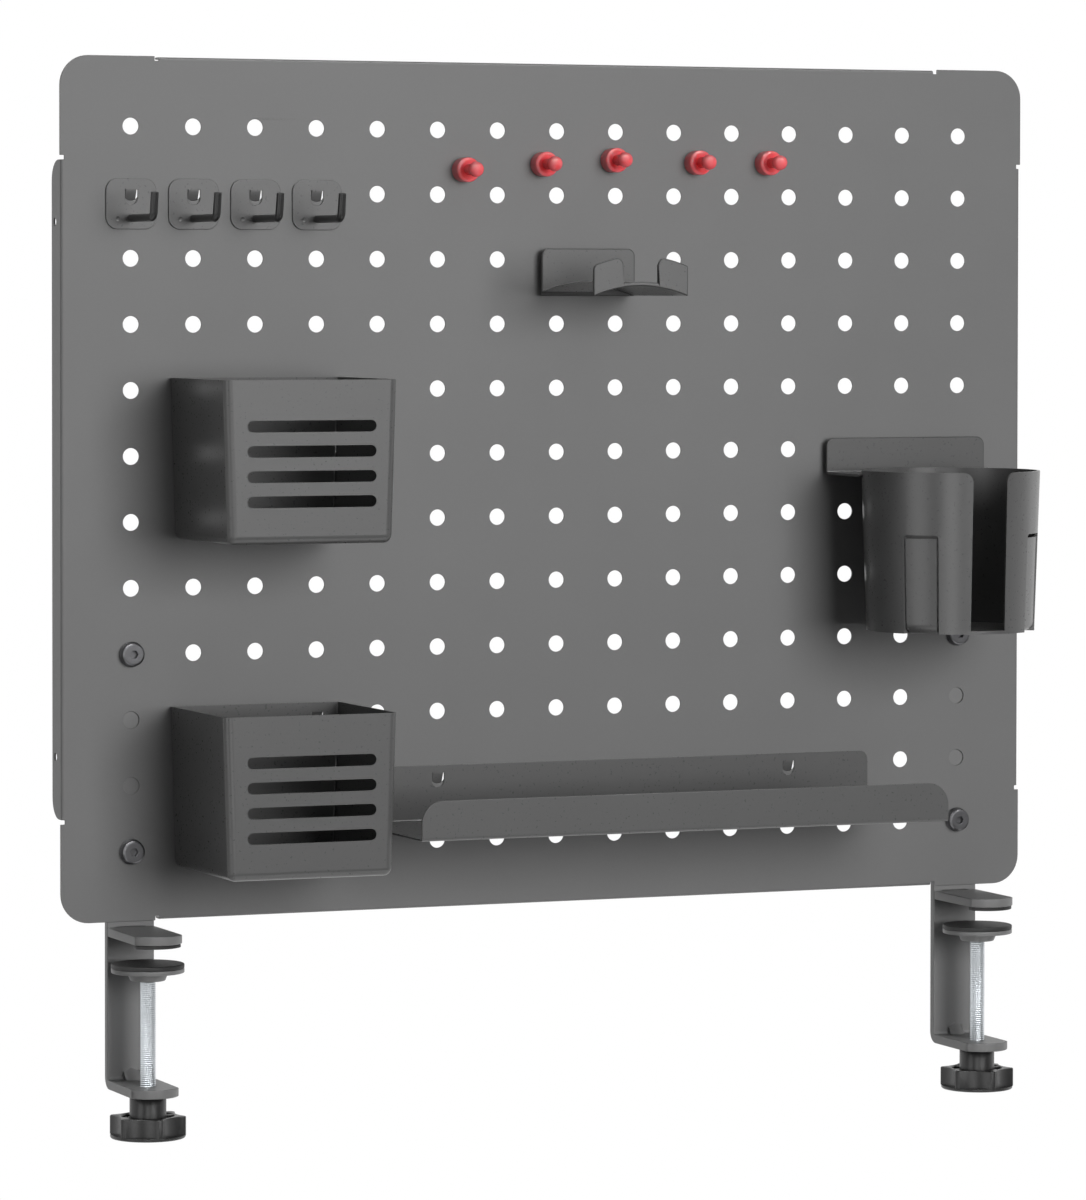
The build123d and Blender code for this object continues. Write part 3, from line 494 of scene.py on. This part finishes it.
def hand_knob(node):
    """The moulded knob: turned rings, with hollow flanks in its body rings, and ribs in its recess."""
    low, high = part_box(node)
    middle = (low + high) / 2
    foot_radius, foot_height = knob_foot_mm
    top = knob_height_mm
    recess = top - knob_recess_mm
    bore_radius, bore_depth = knob_bore_mm
    collar_top = (high.z - low.z) / MM
    corner = [math.radians(a) for a in (0, 30, 60, 90)]
    # Each ring: its radius or its inset from the flank, its height, and whether it follows the flank
    rings = [
        (foot_radius - knob_round_mm * (1 - math.sin(a)), knob_round_mm * (1 - math.cos(a)), False)
        for a in corner
    ]
    rings += [
        (foot_radius, foot_height - knob_edge_mm, False),
        (foot_radius - knob_edge_mm, foot_height, False),
        (0.0, foot_height, True),
        (0.0, top - knob_crown_mm, True),
        (knob_edge_mm, top - knob_edge_mm, True),
        (knob_crown_mm, top, True),
        (knob_rim_mm + knob_rim_round_mm, top, False),
        (knob_rim_mm, top - knob_rim_round_mm, False),
        (knob_rim_mm, recess, False),
        (knob_collar_mm, recess, False),
        (knob_collar_mm, collar_top - knob_collar_round_mm, False),
        (knob_collar_mm - knob_collar_round_mm, collar_top, False),
        (bore_radius, collar_top, False),
        (bore_radius, collar_top - bore_depth, False),
    ]
    points, faces = [], ring_faces(len(rings), knob_sides)
    for radius, height, lobed in rings:
        for side in range(knob_sides):
            angle = 2 * math.pi * side / knob_sides
            reach = knob_flank(angle) - radius if lobed else radius
            points.append((reach * math.cos(angle), reach * math.sin(angle), height))
    half = knob_rib_mm / 2
    inner, outer = knob_collar_mm - knob_rib_ends_mm[0], knob_rim_mm + knob_rib_ends_mm[1]
    for rib in range(knob_lobes):
        angle = 2 * math.pi * rib / knob_lobes
        along = Vector((math.cos(angle), math.sin(angle), 0))
        aside = Vector((-math.sin(angle), math.cos(angle), 0))
        first = len(points)
        for height in (recess, top - knob_rim_round_mm):
            for reach, side in ((inner, -half), (outer, -half), (outer, half), (inner, half)):
                points.append(along * reach + aside * side + Vector((0, 0, height)))
        faces.append(tuple(first + i for i in (4, 5, 6, 7)))
        for i in range(4):
            after = (i + 1) % 4
            faces.append((first + i, first + after, first + after + 4, first + i + 4))
    mesh = bpy.data.meshes.new(node + "_moulded")
    mesh.from_pydata([Vector((middle.x, middle.y, low.z)) + Vector(p) * MM for p in points], [], faces)
    mesh.shade_smooth()
    mesh.set_sharp_from_angle(angle=math.radians(sharp_angle))
    dress(bpy.data.objects.new(node + "_moulded", mesh), node)


def rolled_thread(node):
    """A rod with a rolled thread: one helical ridge from end to end, with chamfered ends."""
    low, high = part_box(node)
    middle = (low + high) / 2
    crest = (high.x - low.x) / 2
    length = high.z - low.z
    pitch = thread_pitch_mm * MM
    depth = thread_depth * pitch
    rings = round(length / pitch * thread_steps)
    points = []
    for ring in range(rings + 1):
        z = length * ring / rings
        taper = crest - max(0.0, rod_chamfer_mm * MM - min(z, length - z))
        for side in range(thread_sides):
            turn = side / thread_sides
            phase = (z / pitch - turn) % 1.0
            ridge = min(1.0, max(0.0, thread_slope * (1 - abs(2 * phase - 1)) - thread_root))
            radius = min(taper, crest - depth * (1 - ridge))
            angle = 2 * math.pi * turn
            x, y = middle.x + radius * math.cos(angle), middle.y + radius * math.sin(angle)
            points.append((x, y, low.z + z))
    faces = ring_faces(rings + 1, thread_sides)
    faces.append(tuple(rings * thread_sides + side for side in range(thread_sides)))
    mesh = bpy.data.meshes.new(node + "_thread")
    mesh.from_pydata(points, [], faces)
    mesh.shade_smooth()
    for face in mesh.polygons[-2:]:
        face.use_smooth = False
    dress(bpy.data.objects.new(node + "_thread", mesh), node)


# Parts whose bent tongues get painted shade
tongued = ["hook_%d_plate" % number for number in range(1, 5)] + ["tray"]
# Parts whose rounded edges get the dark coat of painted edge shade
edge_shaded_parts = ("headset_holder", "cup_back_plate")
deburr_mm = {
    "panel": 0.35, "bracket_bolts": 0.3, "tray": 0.35,
    "headset_holder": 0.7, "headset_hanger_clips": 0.3,
    "cup_back_plate": 0.5, "cup_hanger_clips": 0.3,
}
for side in ("left", "right"):
    deburr_mm.update({
        side + "_bracket": 0.6, side + "_upper_jaw": 0.6, side + "_jaw_pad": 0.5,
        side + "_pressure_disc": 0.5, side + "_disc_rubber": 0.6,
    })
    rolled_thread(side + "_screw_rod")
    hand_knob(side + "_knob")
for number in range(1, 5):
    deburr_mm["hook_%d_plate" % number] = 0.4
    photographed_rod("hook_%d_rod" % number)
photographed_cup("cup_wall")
photographed_cup("cup_base")
for node, radius in deburr_mm.items():
    deburred(node, radius)


# Studio: a pale floor, a white surround and the lamps

def build_floor():
    """A pale floor that glows for the camera and in the gloss of the pieces, and only there."""
    mesh = bpy.data.meshes.new("floor")
    r = floor_reach
    corners = [(-r, -r, floor_z), (r, -r, floor_z), (r, r, floor_z), (-r, r, floor_z)]
    mesh.from_pydata(corners, [], [(0, 1, 2, 3)])
    floor = bpy.data.objects.new("floor", mesh)
    bpy.context.scene.collection.objects.link(floor)
    material, tree = new_material("pale_floor")
    rays = add_node(tree, "ShaderNodeLightPath").outputs
    seen = add_node(
        tree, "ShaderNodeMath", {0: rays["Is Camera Ray"], 1: rays["Is Glossy Ray"]}, operation="MAXIMUM"
    ).outputs["Value"]
    place = add_node(tree, "ShaderNodeTexCoord").outputs["Object"]
    flat = add_node(tree, "ShaderNodeMapping", {"Vector": place, "Scale": (1.0, 1.0, 0.0)}).outputs["Vector"]
    reach = add_node(tree, "ShaderNodeVectorMath", {0: flat}, operation="LENGTH").outputs["Value"]
    bright = add_node(
        tree, "ShaderNodeMapRange",
        {"Value": reach, "From Min": floor_fade[0], "From Max": floor_fade[1],
         "To Min": floor_bright[0], "To Max": floor_bright[1]},
    ).outputs["Result"]
    level = add_node(tree, "ShaderNodeMath", {0: seen, 1: bright}, operation="MULTIPLY").outputs["Value"]
    matt = add_node(tree, "ShaderNodeBsdfDiffuse", {"Color": linear("#e6e6e6")})
    glow = add_node(tree, "ShaderNodeEmission", {"Color": linear("#ffffff"), "Strength": level})
    both = add_node(tree, "ShaderNodeAddShader", {0: matt.outputs["BSDF"], 1: glow.outputs["Emission"]})
    add_node(tree, "ShaderNodeOutputMaterial", {"Surface": both.outputs["Shader"]})
    mesh.materials.append(material)


def build_surround():
    """White backdrop behind the board, as the camera and the shiny pieces see it; a dim room for the rest."""
    world = bpy.data.worlds.new("studio")
    world.use_nodes = True
    tree = world.node_tree
    tree.nodes.clear()
    rays = add_node(tree, "ShaderNodeLightPath").outputs
    seen, glossy = rays["Is Camera Ray"], rays["Is Glossy Ray"]
    direction = add_node(tree, "ShaderNodeTexCoord").outputs["Generated"]
    depth = add_node(tree, "ShaderNodeSeparateXYZ", {"Vector": direction}).outputs["Y"]
    behind = add_node(
        tree, "ShaderNodeMapRange",
        {"Value": depth, "From Min": horizon_soft[0], "From Max": horizon_soft[1]},
        interpolation_type="SMOOTHSTEP",
    ).outputs["Result"]
    mirrored = add_node(tree, "ShaderNodeMath", {0: glossy, 1: behind}, operation="MULTIPLY").outputs["Value"]
    share = add_node(tree, "ShaderNodeMath", {0: seen, 1: mirrored}, operation="MAXIMUM").outputs["Value"]
    room = add_node(
        tree, "ShaderNodeMapRange", {"Value": glossy, "To Min": room_level, "To Max": gloss_level}
    ).outputs["Result"]
    level = add_node(
        tree, "ShaderNodeMapRange", {"Value": share, "To Min": room, "To Max": 1.0}
    ).outputs["Result"]
    light = add_node(tree, "ShaderNodeBackground", {"Color": linear("#ffffff"), "Strength": level})
    add_node(tree, "ShaderNodeOutputWorld", {"Surface": light.outputs["Background"]})
    bpy.context.scene.world = world


def build_lamp(name, aim, gives, side, lift, distance, half_wide, half_high, brightness):
    """A rectangular lamp facing the board, which either lights its surfaces or shows in their gloss."""
    lamp = bpy.data.lights.new(name, "AREA")
    lamp.shape = "RECTANGLE"
    lamp.size = 2 * distance * math.tan(math.radians(half_wide))
    lamp.size_y = 2 * distance * math.tan(math.radians(half_high))
    lamp.energy = brightness * math.pi * lamp.size * lamp.size_y
    stand = bpy.data.objects.new(name, lamp)
    a, e = math.radians(side), math.radians(lift)
    outward = Vector((math.sin(a) * math.cos(e), -math.cos(a) * math.cos(e), math.sin(e)))
    stand.location = aim + outward * distance
    stand.rotation_euler = outward.to_track_quat("Z", "Y").to_euler()
    stand.visible_camera = False
    stand.visible_diffuse = gives == "light"
    stand.visible_glossy = gives == "gloss"
    bpy.context.scene.collection.objects.link(stand)


def build_camera():
    """The camera of the photograph, with its axis above the middle of the picture."""
    view = bpy.data.cameras.new("photo_view")
    view.sensor_fit = "VERTICAL"
    view.sensor_height = sensor_mm
    view.lens = camera_focal_px * sensor_mm / image_size[1]
    view.shift_y = camera_axis_px / image_size[1] - 0.5
    view.clip_end = camera_reach
    stand = bpy.data.objects.new("photo_view", view)
    turn = Matrix.Rotation(math.radians(-camera_yaw), 4, "Z")
    tilt = Matrix.Rotation(math.radians(90 - camera_pitch), 4, "X")
    roll = Matrix.Rotation(math.radians(camera_roll), 4, "Z")
    stand.matrix_world = Matrix.Translation(camera_place) @ turn @ tilt @ roll
    bpy.context.scene.collection.objects.link(stand)
    bpy.context.scene.camera = stand


board_middle = sum(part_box("panel"), Vector()) / 2
build_floor()
build_surround()
for lamp_name, lamp_setting in lamps.items():
    build_lamp(lamp_name, board_middle, *lamp_setting)
build_camera()
bpy.context.scene.view_settings.view_transform = "Standard"
